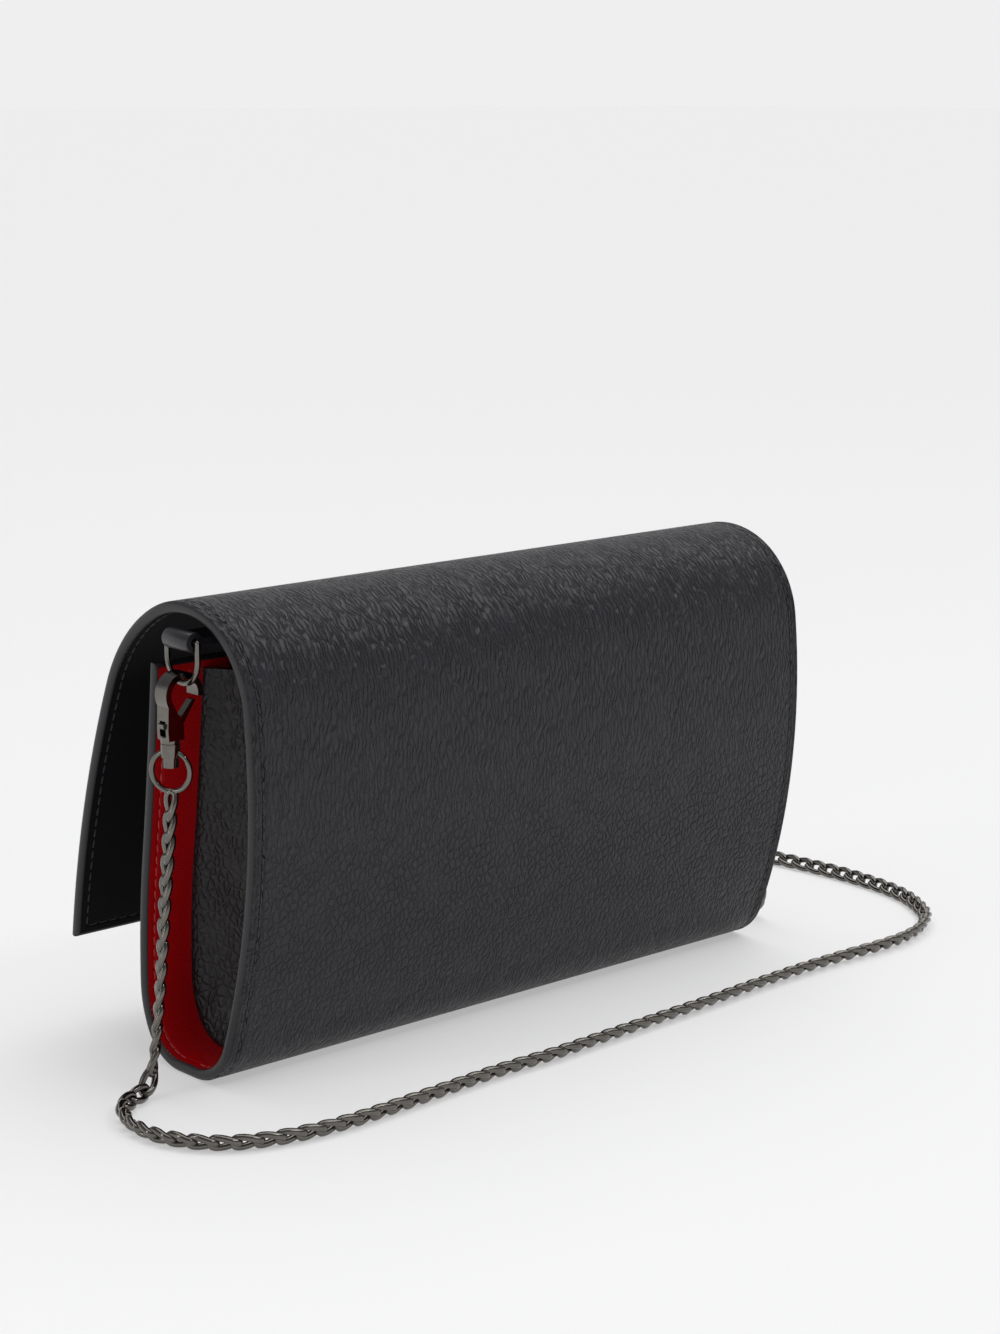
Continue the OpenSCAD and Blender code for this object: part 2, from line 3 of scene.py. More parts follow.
import bmesh
import bpy
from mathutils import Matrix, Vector


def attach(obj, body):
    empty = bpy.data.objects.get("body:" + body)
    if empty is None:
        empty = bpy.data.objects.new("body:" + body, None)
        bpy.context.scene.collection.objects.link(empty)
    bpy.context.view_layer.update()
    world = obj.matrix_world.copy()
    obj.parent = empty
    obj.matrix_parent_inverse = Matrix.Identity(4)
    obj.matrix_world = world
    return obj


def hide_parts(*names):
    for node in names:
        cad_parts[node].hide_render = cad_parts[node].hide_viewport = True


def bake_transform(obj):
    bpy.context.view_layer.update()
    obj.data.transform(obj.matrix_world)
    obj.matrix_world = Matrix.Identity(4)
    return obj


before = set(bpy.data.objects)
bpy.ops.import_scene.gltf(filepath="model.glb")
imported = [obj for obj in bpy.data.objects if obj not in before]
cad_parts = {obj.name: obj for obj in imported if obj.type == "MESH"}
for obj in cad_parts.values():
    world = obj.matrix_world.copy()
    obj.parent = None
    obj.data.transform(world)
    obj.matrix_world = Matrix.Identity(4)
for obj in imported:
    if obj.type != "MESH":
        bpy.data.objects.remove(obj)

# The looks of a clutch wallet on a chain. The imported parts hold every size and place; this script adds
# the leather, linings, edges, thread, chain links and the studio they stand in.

bl_info = {
    "name": "Wallet on a Chain",
    "version": (1, 0, 0),
    "blender": (4, 5, 0),
    "location": "View3D > Sidebar > Wallet",
    "description": "Builds the leather, chain and studio around the packed wallet parts",
    "category": "Object",
}

MM = 0.001

# The wall's outer face is a chain of arcs, each (length in mm, degrees turned), from the middle of the
# bottom: one run goes up the back and over to the flap's edge, the other up the front.
BACK_RUN = ((4.5, 0.0), (19.2, 69.3), (91.0, 27.2), (28.5, 62.0), (22.5, 44.5), (33.0, 43.8), (75.0, 15.6))
FRONT_RUN = ((3.0, 0.0), (16.0, -62.0), (13.0, -28.0), (35.0, -8.0), (51.0, 3.0))
BEND_FROM = sum(length for length, _ in BACK_RUN[:4])
BEND_TO = sum(length for length, _ in BACK_RUN[:5])
BACK_END = sum(length for length, _ in BACK_RUN)
FRONT_END = sum(length for length, _ in FRONT_RUN)
RED_END = sum(length for length, _ in BACK_RUN[:3])
FRONT_ROOT = sum(length for length, _ in FRONT_RUN[:3])

# Distances between the meshes' stations, in mm: finer on the leather, where light shows every facet.
LEATHER_STEP = 1.6
LINING_STEP = 1.8
PLAIN_STEP = 2.0
ACROSS_STEP = 3.0

# The board stops short of the rims and lies clear of the leather and the lining, in mm.
BOARD_INSET = 1.2
BOARD_CLEAR = 0.02

# Threads, in mm. Each row's middle sinks a little below the face it is sewn on. STITCH_FILL is a stitch's
# share of its pitch, and STITCH_SLANT its sideways lean.
OUTER_THREAD_DEPTH = 0.2
OUTER_THREAD_RADIUS = 0.27
LINING_THREAD_DEPTH = 0.1
LINING_THREAD_RADIUS = 0.25
LINING_STITCH_IN = 2.8
STITCH_FILL = 0.74
STITCH_SLANT = 0.06

# Each half of the strap chain as round-number points in mm: from its jump ring down to the table, then
# round to where the two halves meet. FLOOR is its centre's height where it lies, and HANGING the length of
# it that hangs from the ring.
FLOOR = 2.3
HANGING = 74.0
RIGHT_ROUTE = (
    (103.3, 5.5, 75.8), (105, 6, 62), (106.4, 6, 49), (107.6, 6, 36), (108.8, 6, 24), (110, 6, 15),
    (111.5, 6.5, 8.5), (113.5, 7.5, 4.6), (116, 8.8, 2.6), (119, 10, FLOOR), (123, 12, FLOOR),
    (127, 16, FLOOR), (130, 22, FLOOR), (131, 29, FLOOR), (130, 37, FLOOR), (126, 45, FLOOR),
    (120, 51, FLOOR), (112, 55, FLOOR), (102, 57.5, FLOOR), (90, 58.5, FLOOR), (75, 58, FLOOR),
    (58, 57, FLOOR), (40, 56, FLOOR), (20, 56, FLOOR), (0, 55, FLOOR), (-20, 54, FLOOR),
    (-40, 53, FLOOR), (-60, 51.5, FLOOR), (-80, 50.5, FLOOR), (-98, 50.5, FLOOR), (-115, 51, FLOOR),
    (-127, 50, FLOOR), (-138, 46.5, FLOOR), (-147, 40.5, FLOOR), (-153, 33, FLOOR), (-158, 24, FLOOR),
    (-161, 14, FLOOR), (-162.5, 3, FLOOR), (-163, -8, FLOOR), (-162.5, -20, FLOOR),
)
LEFT_ROUTE = (
    (-103.3, 5.5, 75.8), (-105, 6, 62), (-106.4, 6, 49), (-107.6, 6, 36), (-108.8, 6, 24),
    (-110, 6, 15), (-111.5, 5, 8.5), (-113, 2.5, 4.6), (-114.5, -3, 2.6), (-115, -12, FLOOR),
    (-114, -26, FLOOR), (-110, -40, FLOOR), (-102, -53, FLOOR), (-89, -62.5, FLOOR),
    (-72, -66, FLOOR), (-48, -66, FLOOR), (-24, -66, FLOOR), (0, -66, FLOOR), (20, -66.5, FLOOR),
    (31, -70, FLOOR), (36, -78, FLOOR), (31, -86, FLOOR), (20, -89.5, FLOOR), (4, -90, FLOOR),
    (-20, -90, FLOOR), (-44, -90, FLOOR), (-68, -90, FLOOR), (-92, -90, FLOOR), (-114, -88, FLOOR),
    (-130, -82, FLOOR), (-142, -73, FLOOR), (-151, -62, FLOOR), (-157, -49, FLOOR),
    (-161, -34, FLOOR), (-162.5, -20, FLOOR),
)


def linear(code):
    """Linear RGB of an sRGB colour written as six hex digits."""
    parts = [int(code[i:i + 2], 16) / 255 for i in (0, 2, 4)]
    return tuple(c / 12.92 if c <= 0.04045 else ((c + 0.055) / 1.055) ** 2.4 for c in parts)


class WalletSizes(bpy.types.PropertyGroup):
    """Sizes of the wallet's looks, in metres."""

    length: bpy.props.FloatProperty(
        name="Length", description="Length of the wallet", default=0.195, unit="LENGTH")
    wall: bpy.props.FloatProperty(
        name="Wall", description="Thickness of the wall", default=0.003, unit="LENGTH")
    leather: bpy.props.FloatProperty(
        name="Leather", description="Thickness of the outer leather", default=0.0012, unit="LENGTH")
    lining: bpy.props.FloatProperty(
        name="Lining", description="Thickness of the lining", default=0.001, unit="LENGTH")
    stitch_in: bpy.props.FloatProperty(
        name="Stitch inset", description="From the rim to the stitch line", default=0.003, unit="LENGTH")
    stitch_pitch: bpy.props.FloatProperty(
        name="Stitch pitch", description="From one stitch to the next", default=0.0032, unit="LENGTH")
    link_pitch: bpy.props.FloatProperty(
        name="Link pitch", description="Chain length per link", default=0.0054, unit="LENGTH")
    link_width: bpy.props.FloatProperty(
        name="Link width", description="Outer width of a link", default=0.0048, unit="LENGTH")
    link_wire: bpy.props.FloatProperty(
        name="Link wire", description="Thickness of a link's wire", default=0.00172, unit="LENGTH")


class WalletColours(bpy.types.PropertyGroup):
    """Colours of the wallet and the floor."""

    leather: bpy.props.FloatVectorProperty(
        name="Leather", description="Outer leather", size=3, subtype="COLOR", default=linear("1c1c22"))
    edge: bpy.props.FloatVectorProperty(
        name="Edge", description="Painted edge", size=3, subtype="COLOR", default=linear("222225"))
    # The flap's lining is black smooth leather; its colour is set far darker than the outer leather's, partly
    # its own black and partly painted shade of the flap's underside.
    dark: bpy.props.FloatVectorProperty(
        name="Dark lining", description="Flap's lining, partly painted shade", size=3, subtype="COLOR", default=linear("040509"))
    red: bpy.props.FloatVectorProperty(
        name="Red lining", description="Body's lining", size=3, subtype="COLOR", default=linear("b5050d"))
    metal: bpy.props.FloatVectorProperty(
        name="Dark nickel", description="Fittings, chain", size=3, subtype="COLOR", default=linear("6c6964"))
    floor: bpy.props.FloatVectorProperty(
        name="Floor", description="Studio floor", size=3, subtype="COLOR", default=linear("c4c4c4"))


# ---------------------------------------------------------------- wall geometry


def along(arcs, heading, s):
    """Y, Z and heading in degrees at s mm along a run of arcs that starts at the origin."""
    y, z, turned = 0.0, 0.0, heading
    last = len(arcs) - 1
    for i, (length, turn) in enumerate(arcs):
        step = s if i == last else min(s, length)
        if turn == 0:
            y += step * math.cos(math.radians(turned))
            z += step * math.sin(math.radians(turned))
        else:
            radius = length / math.radians(turn)
            after = turned + turn * step / length
            y += radius * (math.sin(math.radians(after)) - math.sin(math.radians(turned)))
            z -= radius * (math.cos(math.radians(after)) - math.cos(math.radians(turned)))
            turned = after
        s -= step
        if s <= 1e-9:
            break
    return y, z, turned


class Run:
    """One of the wall's two runs, with a point s mm along it, x mm along the wallet and d mm deep."""

    def __init__(self, arcs, heading, side):
        self.arcs = arcs
        self.heading = heading
        self.side = side
        self.known = {}

    def frame(self, s):
        key = round(s, 4)
        if key not in self.known:
            y, z, turned = along(self.arcs, self.heading, s)
            a = math.radians(turned)
            inward = Vector((0.0, -math.sin(a) * self.side, math.cos(a) * self.side))
            self.known[key] = (Vector((0.0, y, z)), inward, Vector((0.0, math.cos(a), math.sin(a))))
        return self.known[key]

    def at(self, x, s, d):
        base, inward, _ = self.frame(s)
        return (base + inward * d + Vector((x, 0, 0))) * MM


BACK = Run(BACK_RUN, 0.0, 1)
FRONT = Run(FRONT_RUN, 180.0, -1)

# Distances in from a rim where the skin's shape changes fast, in mm.
RIM = (0.0, 0.06, 0.16, 0.32, 0.55, 0.8, 1.05, 1.2, 1.35, 1.5, 1.65, 1.9, 2.2, 2.45, 2.65, 2.85, 3.0, 3.15,
       3.35, 3.55, 3.8, 4.2, 4.8)


def rim_spaced(half, middle):
    """Stations from -half to half, close together near both rims."""
    near = [half - e for e in RIM]
    inner = near[-1]
    count = max(2, round(2 * inner / middle))
    between = [-inner + 2 * inner * i / count for i in range(1, count)]
    return [-x for x in near] + between + near[::-1]


def end_spaced(start, end, step):
    """Stations from start to end, close together near the end."""
    near = [end - e for e in RIM][::-1]
    count = max(2, round((near[0] - start) / step))
    return [start + (near[0] - start) * i / count for i in range(count)] + near


def even(start, end, step):
    """Even stations from start to end."""
    count = max(1, round((end - start) / step))
    return [start + (end - start) * i / count for i in range(count + 1)]


def rim_drop(e):
    """How far a rounded rim falls away, e mm in from it."""
    radius = 0.8
    if e >= radius:
        return 0.0
    return radius - math.sqrt(max(0.0, radius ** 2 - (radius - e) ** 2))


def groove(e, middle, deep, wide):
    """A soft groove's depth, e mm in from the rim."""
    return deep * math.exp(-(((e - middle) / wide) ** 2))


def skin_depth(e):
    """How far the outer leather lies below its full height, e mm in from the rim, with its edge crease and
    stitch line."""
    return rim_drop(e) + groove(e, 1.35, 0.14, 0.2) + groove(e, 3.0, 0.34, 0.5)


def lining_depth(e):
    """How far the lining lies below its full height, e mm in from the rim, with its stitch line."""
    return rim_drop(e) + groove(e, 2.8, 0.16, 0.4)


def add_mesh(name, points, faces, uvs=None):
    """A new mesh object from points in metres."""
    mesh = bpy.data.meshes.new(name)
    mesh.from_pydata([tuple(p) for p in points], [], faces)
    if uvs is not None:
        layer = mesh.uv_layers.new(name="skin")
        for loop in mesh.loops:
            layer.data[loop.index].uv = uvs[loop.vertex_index]
    mesh.validate()
    mesh.shade_smooth()
    mesh.set_sharp_from_angle(angle=math.radians(65))
    obj = bpy.data.objects.new(name, mesh)
    bpy.context.scene.collection.objects.link(obj)
    return obj


def slab(name, run, xs, stations, shown, hidden, end_rim=True):
    """A closed sheet over xs by stations. shown(e) and hidden(e) are its two faces' depths, e mm in from the
    rim."""
    half = xs[-1]
    s_end = stations[-1]
    nx, ns = len(xs), len(stations)
    points, uvs, faces = [], [], []
    for depth in (shown, hidden):
        for s in stations:
            for x in xs:
                e = half - abs(x)
                if end_rim:
                    e = min(e, s_end - s)
                points.append(run.at(x, s, depth(e)))
                uvs.append((x / 100, s / 100))
    inside = shown(half) > hidden(half)
    flip = (run.side > 0) != inside

    def quad(a, b, c, d):
        faces.append((a, b, c, d) if flip else (d, c, b, a))

    n = nx * ns
    for j in range(ns - 1):
        for i in range(nx - 1):
            a = j * nx + i
            quad(a + nx, a + nx + 1, a + 1, a)
            quad(n + a, n + a + 1, n + a + nx + 1, n + a + nx)
    for i in range(nx - 1):
        quad(i + 1, n + i + 1, n + i, i)
        a = (ns - 1) * nx + i
        quad(a, n + a, n + a + 1, a + 1)
    for j in range(ns - 1):
        a = j * nx
        quad(a, n + a, n + a + nx, a + nx)
        b = a + nx - 1
        quad(b + nx, n + b + nx, n + b, b)
    obj = add_mesh(name, points, faces, uvs)
    outward(obj)
    return obj


def outward(obj):
    """Turns all faces outward."""
    bm = bmesh.new()
    bm.from_mesh(obj.data)
    bmesh.ops.recalc_face_normals(bm, faces=bm.faces)
    bm.to_mesh(obj.data)
    bm.free()


# The painted edge's outline as (out past the rim, depth in the wall) in mm: rounded over, and tucked in.
EDGE_SECTION = (
    (-0.7, 0.9), (-0.2, 0.3), (0.0, 0.46), (0.16, 0.75), (0.25, 1.1), (0.28, 1.5), (0.25, 1.9),
    (0.16, 2.3), (0.0, 2.62), (-0.25, 2.86), (-0.6, 2.98), (-0.9, 3.0), (-1.1, 2.8),
)


def edge_bead(name, run, half, s0, s1, section, step):
    """The painted edge: a closed section swept round a run's three rims."""
    stations = even(s0, s1, step)
    across = even(-half, half, ACROSS_STEP)
    path = [(half, s, 1, 0) for s in stations[:-1]]
    path.append((half, s1, 1, 1))
    path += [(x, s1, 0, 1) for x in across[::-1][1:-1]]
    path.append((-half, s1, -1, 1))
    path += [(-half, s, -1, 0) for s in stations[::-1][1:]]
    points, uvs = [], []
    for k, (x, s, ox, oz) in enumerate(path):
        for out, depth in section:
            points.append(run.at(x + ox * out, s + oz * out, depth))
            uvs.append((k * step / 100, depth / 100))
    n = len(section)
    faces = []
    for k in range(len(path) - 1):
        for i in range(n):
            a = k * n + i
            b = k * n + (i + 1) % n
            faces.append((a, b, b + n, a + n))
    faces.append(tuple(range(n - 1, -1, -1)))
    faces.append(tuple((len(path) - 1) * n + i for i in range(n)))
    obj = add_mesh(name, points, faces, uvs)
    outward(obj)
    return obj


def thread(name, run, spots, depth, radius, long):
    """Stitches as small rounded bars, a little flattened. Each spot is (x, s, along_x, slant)."""
    points, faces = [], []
    # Each ring is (place along the stitch, share of the radius): full in the middle, drawn in at the ends.
    rings = ((-0.5, 0.35), (-0.42, 0.8), (-0.2, 1.0), (0.2, 1.0), (0.42, 0.8), (0.5, 0.35))
    sides = 6
    flattened = 0.8
    for x, s, along_x, slant in spots:
        base, inward, forward = run.frame(s)
        lead = Vector((1, 0, 0)) if along_x else forward
        cross = forward if along_x else Vector((1, 0, 0))
        lead = (lead + cross * slant).normalized()
        cross = inward.cross(lead)
        centre = base + inward * depth + Vector((x, 0, 0))
        start = len(points)
        for shift, size in rings:
            for k in range(sides):
                a = 2 * math.pi * k / sides
                spread = cross * math.cos(a) + inward * (math.sin(a) * flattened)
                points.append((centre + lead * (shift * long) + spread * (radius * size)) * MM)
        for r in range(len(rings) - 1):
            for k in range(sides):
                a = start + r * sides + k
                b = start + r * sides + (k + 1) % sides
                faces.append((a, b, b + sides, a + sides))
        faces.append(tuple(start + k for k in range(sides - 1, -1, -1)))
        faces.append(tuple(start + (len(rings) - 1) * sides + k for k in range(sides)))
    obj = add_mesh(name, points, faces)
    outward(obj)
    return obj


def rim_spots(half, inset, s0, s1, pitch, end_row=True):
    """Where the stitches go: up both rims of a run, and across its end."""
    spots = []
    top = s1 - inset if end_row else s1
    count = int((top - s0) / pitch)
    for side in (-1, 1):
        spots += [(side * (half - inset), top - pitch * (i + 0.5), False, side * STITCH_SLANT)
                  for i in range(count)]
    if end_row:
        across = int(2 * (half - inset) / pitch)
        first = -(across - 1) / 2
        spots += [((first + i) * pitch, s1 - inset, True, STITCH_SLANT) for i in range(across)]
    return spots


# ---------------------------------------------------------------- chain geometry


def smooth_route(route, step):
    """Points about every step mm on a smooth line through the route's points, and the line's length."""
    pts = [Vector(p) for p in route]
    parts = 12
    ends = [pts[0] * 2 - pts[1]] + pts + [pts[-1] * 2 - pts[-2]]
    dense = []
    for i in range(1, len(ends) - 2):
        p0, p1, p2, p3 = ends[i - 1], ends[i], ends[i + 1], ends[i + 2]
        for k in range(parts):
            t = k / parts
            dense.append(0.5 * ((2 * p1) + (p2 - p0) * t + (2 * p0 - 5 * p1 + 4 * p2 - p3) * t * t
                                + (3 * p1 - p0 - 3 * p2 + p3) * t * t * t))
    dense.append(pts[-1].copy())
    line = [(dense[0], 0.0)]
    total = 0.0
    for a, b in zip(dense, dense[1:]):
        total += (b - a).length
        line.append((b, total))
    count = round(total / step)
    samples = []
    j = 0
    for i in range(count + 1):
        want = total * i / count
        while j < len(line) - 2 and line[j + 1][1] < want:
            j += 1
        (a, da), (b, db) = line[j], line[j + 1]
        samples.append(a.lerp(b, (want - da) / max(db - da, 1e-9)))
    return samples, total


def link_points(centre, lead, cross, up, long, width, wire):
    """One curb link: a squared oval of stout wire, twisted end to end."""
    around, sides = 24, 8
    twist = math.radians(38)
    proud = 1.06
    half_l = long / 2
    half_w = width / 2
    ring = []
    for i in range(around):
        a = 2 * math.pi * i / around
        u = half_l * math.copysign(abs(math.cos(a)) ** 0.9, math.cos(a))
        v = half_w * math.copysign(abs(math.sin(a)) ** 0.8, math.sin(a))
        turn = twist * u / half_l
        ring.append(Vector((u, v * math.cos(turn), v * math.sin(turn))))
    points = []
    for i in range(around):
        here = ring[i]
        way = (ring[(i + 1) % around] - ring[i - 1]).normalized()
        turn = twist * here.x / half_l
        face = Vector((0, -math.sin(turn), math.cos(turn)))
        face = (face - way * face.dot(way)).normalized()
        side = way.cross(face)
        for k in range(sides):
            b = 2 * math.pi * (k + 0.5) / sides
            p = here + side * (math.cos(b) * wire / 2) + face * (math.sin(b) * wire / 2 * proud)
            points.append(centre + lead * p.x + cross * p.y + up * p.z)
    faces = []
    for i in range(around):
        for k in range(sides):
            a = i * sides + k
            b = i * sides + (k + 1) % sides
            c = ((i + 1) % around) * sides + (k + 1) % sides
            d = ((i + 1) % around) * sides + k
            faces.append((a, b, c, d))
    return points, faces


def roll_at(distance):
    """How far a link leans about the chain's line, in degrees: edge-on at the ring, leaning on the table."""
    lying = distance - HANGING
    if lying < 0:
        return 84 - 40 * (distance / HANGING) ** 1.4
    return 48 + 9 * math.sin(lying / 47) - 4 * math.exp(-lying / 14)


def build_chain(name, route, sizes, lean):
    """One half of the curb chain, link by link, as one mesh, its centreline and its length."""
    pitch = sizes.link_pitch / MM
    samples, total = smooth_route(route, pitch / 2)
    wire = sizes.link_wire / MM
    width = sizes.link_width / MM - wire
    overlap = 0.98
    long = pitch + wire * overlap
    lowest = 0.05
    points, faces = [], []
    links = (len(samples) - 1) // 2
    real = total / links
    for i in range(links):
        centre = samples[2 * i + 1]
        way = (samples[2 * i + 2] - samples[2 * i]).normalized()
        ref = Vector((0, 1, 0)) if abs(way.z) > 0.75 else Vector((0, 0, 1))
        cross = way.cross(ref).normalized()
        up = cross.cross(way)
        a = math.radians(lean * roll_at(real * (i + 0.5)))
        turned = cross * math.cos(a) + up * math.sin(a)
        made, quads = link_points(centre, way, turned, way.cross(turned), long, width, wire)
        low = min(p.z for p in made)
        if low < lowest:
            made = [p + Vector((0, 0, lowest - low)) for p in made]
        start = len(points)
        points += [p * MM for p in made]
        faces += [tuple(start + k for k in quad) for quad in quads]
    obj = add_mesh(name, points, faces)
    outward(obj)
    path = [tuple(p * MM) for p in samples]
    return obj, path, total * MM


# ---------------------------------------------------------------- materials


def tree_of(name):
    """An empty material and its shader."""
    mat = bpy.data.materials.new(name)
    mat.use_nodes = True
    tree = mat.node_tree
    shader = next(n for n in tree.nodes if n.type == "BSDF_PRINCIPLED")
    return mat, tree, shader


def node(tree, kind, links=None, values=None, **settings):
    """A node with its settings. links and values name input sockets."""
    made = tree.nodes.new(kind)
    for key, value in settings.items():
        setattr(made, key, value)
    for key, value in (values or {}).items():
        made.inputs[key].default_value = value
    for key, source in (links or {}).items():
        tree.links.new(source, made.inputs[key])
    return made


def blended(tree, fac, low, high):
    """A colour between low and high by fac."""
    made = node(tree, "ShaderNodeMix", data_type="RGBA")
    tree.links.new(fac, made.inputs[0])
    made.inputs[6].default_value = (*low, 1)
    made.inputs[7].default_value = (*high, 1)
    return made.outputs[2]


def stepped(tree, source, low, high, to_low=0.0, to_high=1.0):
    """source taken from low..high to to_low..to_high, eased."""
    made = node(tree, "ShaderNodeMapRange", {"Value": source},
                {"From Min": low, "From Max": high, "To Min": to_low, "To Max": to_high},
                interpolation_type="SMOOTHSTEP")
    return made.outputs["Result"]


def maths(tree, operation, a, b):
    """One sum of two sockets or numbers."""
    made = node(tree, "ShaderNodeMath", operation=operation)
    for i, value in enumerate((a, b)):
        if isinstance(value, (int, float)):
            made.inputs[i].default_value = value
        else:
            tree.links.new(value, made.inputs[i])
    return made.outputs[0]


# Pebbles about 1.7 mm across, as cells to the mm, and as long again by half. CREASE_WIDE is the share of a
# cell that a crease takes. The pattern wanders by up to half of WANDER_MM either way.
CELLS_PER_MM = 0.58
DRAWN_CELLS_PER_MM = 0.6
CREASE_WIDE = 0.3
WANDER_MM = 2.6


def pebbled_leather(name, colour, place, elongated, depth_mm=0.46):
    """Shrunken-grain leather, dyed black and tumbled, so that fine creases part small soft pebbles, with a
    low gloss on the pebbles; the creases are painted darker in the base colour, as painted shade. Where it
    bends they are drawn out into long creases. elongated gives the share of long creases, 0 to 1."""
    mat, tree, shader = tree_of(name)
    coords = place(tree)
    mask = elongated(tree, coords)
    scaled = node(tree, "ShaderNodeMapping", {"Vector": coords}, {"Scale": (100.0, 100.0, 100.0)}).outputs[0]
    wander = node(tree, "ShaderNodeTexNoise", {"Vector": scaled}, {"Scale": 0.22, "Detail": 2.0})
    offset = node(tree, "ShaderNodeVectorMath", {0: wander.outputs["Color"]}, {1: (0.5, 0.5, 0.5)},
                  operation="SUBTRACT").outputs[0]
    offset = node(tree, "ShaderNodeVectorMath", {0: offset}, {"Scale": WANDER_MM}, operation="SCALE")
    warped = node(tree, "ShaderNodeVectorMath", {0: scaled, 1: offset.outputs[0]}, operation="ADD").outputs[0]

    def creases(stretch, turn, scale):
        laid = node(tree, "ShaderNodeMapping", {"Vector": warped},
                    {"Scale": stretch, "Rotation": (0.0, 0.0, math.radians(turn))}).outputs[0]
        cells = node(tree, "ShaderNodeTexVoronoi", {"Vector": laid}, {"Scale": scale, "Randomness": 1.0},
                     feature="DISTANCE_TO_EDGE", voronoi_dimensions="2D").outputs["Distance"]
        return stepped(tree, cells, 0.0, CREASE_WIDE)

    pebble = creases((1.0, 0.66, 1.0), 14.0, CELLS_PER_MM)
    drawn = creases((1.3, 0.27, 1.0), -24.0, DRAWN_CELLS_PER_MM)
    mixed = node(tree, "ShaderNodeMix", data_type="FLOAT")
    tree.links.new(mask, mixed.inputs[0])
    tree.links.new(pebble, mixed.inputs[2])
    tree.links.new(drawn, mixed.inputs[3])
    pebbles = mixed.outputs[0]
    # This noise makes the creases shallower in patches, and with them their painted shade lighter.
    crease_fade = node(tree, "ShaderNodeTexNoise", {"Vector": scaled}, {"Scale": 0.11, "Detail": 3.0}).outputs["Fac"]
    crease_fade = stepped(tree, crease_fade, 0.32, 0.6, 0.6, 1.0)
    valley = maths(tree, "MULTIPLY", maths(tree, "SUBTRACT", 1.0, pebbles), crease_fade)
    fine = node(tree, "ShaderNodeTexNoise", {"Vector": scaled}, {"Scale": 2.4, "Detail": 3.0}).outputs["Fac"]
    swell = node(tree, "ShaderNodeTexNoise", {"Vector": warped}, {"Scale": 0.3, "Detail": 2.0}).outputs["Fac"]
    height = maths(tree, "MULTIPLY", valley, -1.0)
    height = maths(tree, "ADD", height, maths(tree, "MULTIPLY", fine, 0.1))
    height = maths(tree, "ADD", height, maths(tree, "MULTIPLY", swell, 0.5))
    bump = node(tree, "ShaderNodeBump", {"Height": height}, {"Strength": 1.0, "Distance": depth_mm * MM})
    tree.links.new(bump.outputs[0], shader.inputs["Normal"])
    # Painted shade: the base colour falls to 0.3 of the leather's colour down in the creases, for the shade
    # in them, and rises to 1.12 of it on the pebble tops.
    dark = tuple(c * 0.3 for c in colour)
    light = tuple(min(1.0, c * 1.12) for c in colour)
    tone = maths(tree, "SUBTRACT", 1.0, maths(tree, "MULTIPLY", valley, 0.95))
    tree.links.new(blended(tree, tone, dark, light), shader.inputs["Base Color"])
    tree.links.new(stepped(tree, fine, 0.3, 0.7, 0.36, 0.48), shader.inputs["Roughness"])
    shader.inputs["Specular IOR Level"].default_value = 0.36
    return mat


def skin_uv(tree):
    """The skin's own flat coordinates: 0.01 of a unit to the mm."""
    return node(tree, "ShaderNodeUVMap", uv_map="skin").outputs["UV"]


def object_place(tree):
    """Place in the object's own frame, in metres."""
    return node(tree, "ShaderNodeTexCoord").outputs["Object"]


def bends_back(tree, coords):
    """Long creases at the bottom corner and over the shoulder and crown, by the place up the skin, where 1 is
    100 mm."""
    v = node(tree, "ShaderNodeSeparateXYZ", {"Vector": coords}).outputs["Y"]
    low = stepped(tree, v, 0.2, 0.44, 0.8, 0.0)
    high = stepped(tree, v, 0.55, 1.05, 0.0, 1.0)
    return maths(tree, "MAXIMUM", low, high)


def hardly_bends(tree, coords):
    """Few long creases, the same everywhere."""
    made = node(tree, "ShaderNodeValue")
    made.outputs[0].default_value = 0.15
    return made.outputs[0]


def smooth_leather(name, colour, roughness, coat, place, per_mm, grain=0.00003, shine=0.4):
    """Corrected-grain leather, pressed nearly smooth, or an edge painted and polished by hand: a fine print,
    a faint unevenness of tone and a soft gloss."""
    mat, tree, shader = tree_of(name)
    scaled = node(tree, "ShaderNodeMapping", {"Vector": place(tree)}, {"Scale": (1 / per_mm,) * 3}).outputs[0]
    fine = node(tree, "ShaderNodeTexNoise", {"Vector": scaled}, {"Scale": 1.6, "Detail": 4.0}).outputs["Fac"]
    broad = node(tree, "ShaderNodeTexNoise", {"Vector": scaled}, {"Scale": 0.09, "Detail": 2.0})
    bump = node(tree, "ShaderNodeBump", {"Height": fine}, {"Strength": 1.0, "Distance": grain})
    tree.links.new(bump.outputs[0], shader.inputs["Normal"])
    dark = tuple(c * 0.88 for c in colour)
    light = tuple(min(1.0, c * 1.1) for c in colour)
    tree.links.new(blended(tree, broad.outputs["Fac"], dark, light), shader.inputs["Base Color"])
    rough = stepped(tree, fine, 0.3, 0.7, roughness - 0.04, roughness + 0.05)
    tree.links.new(rough, shader.inputs["Roughness"])
    shader.inputs["Coat Weight"].default_value = coat
    shader.inputs["Coat Roughness"].default_value = 0.12
    shader.inputs["Specular IOR Level"].default_value = shine
    return mat


def thread_material(name, colour):
    """Waxed twisted thread: slanting plies 0.7 mm apart along a stitch, and a dull gloss."""
    mat, tree, shader = tree_of(name)
    place = object_place(tree)
    plies = node(tree, "ShaderNodeTexWave", {"Vector": place}, {"Scale": 900.0, "Distortion": 1.0},
                 bands_direction="DIAGONAL").outputs["Fac"]
    bump = node(tree, "ShaderNodeBump", {"Height": plies}, {"Strength": 0.5, "Distance": 0.00005})
    tree.links.new(bump.outputs[0], shader.inputs["Normal"])
    shader.inputs["Base Color"].default_value = (*colour, 1)
    shader.inputs["Roughness"].default_value = 0.5
    shader.inputs["Sheen Weight"].default_value = 0.15
    return mat


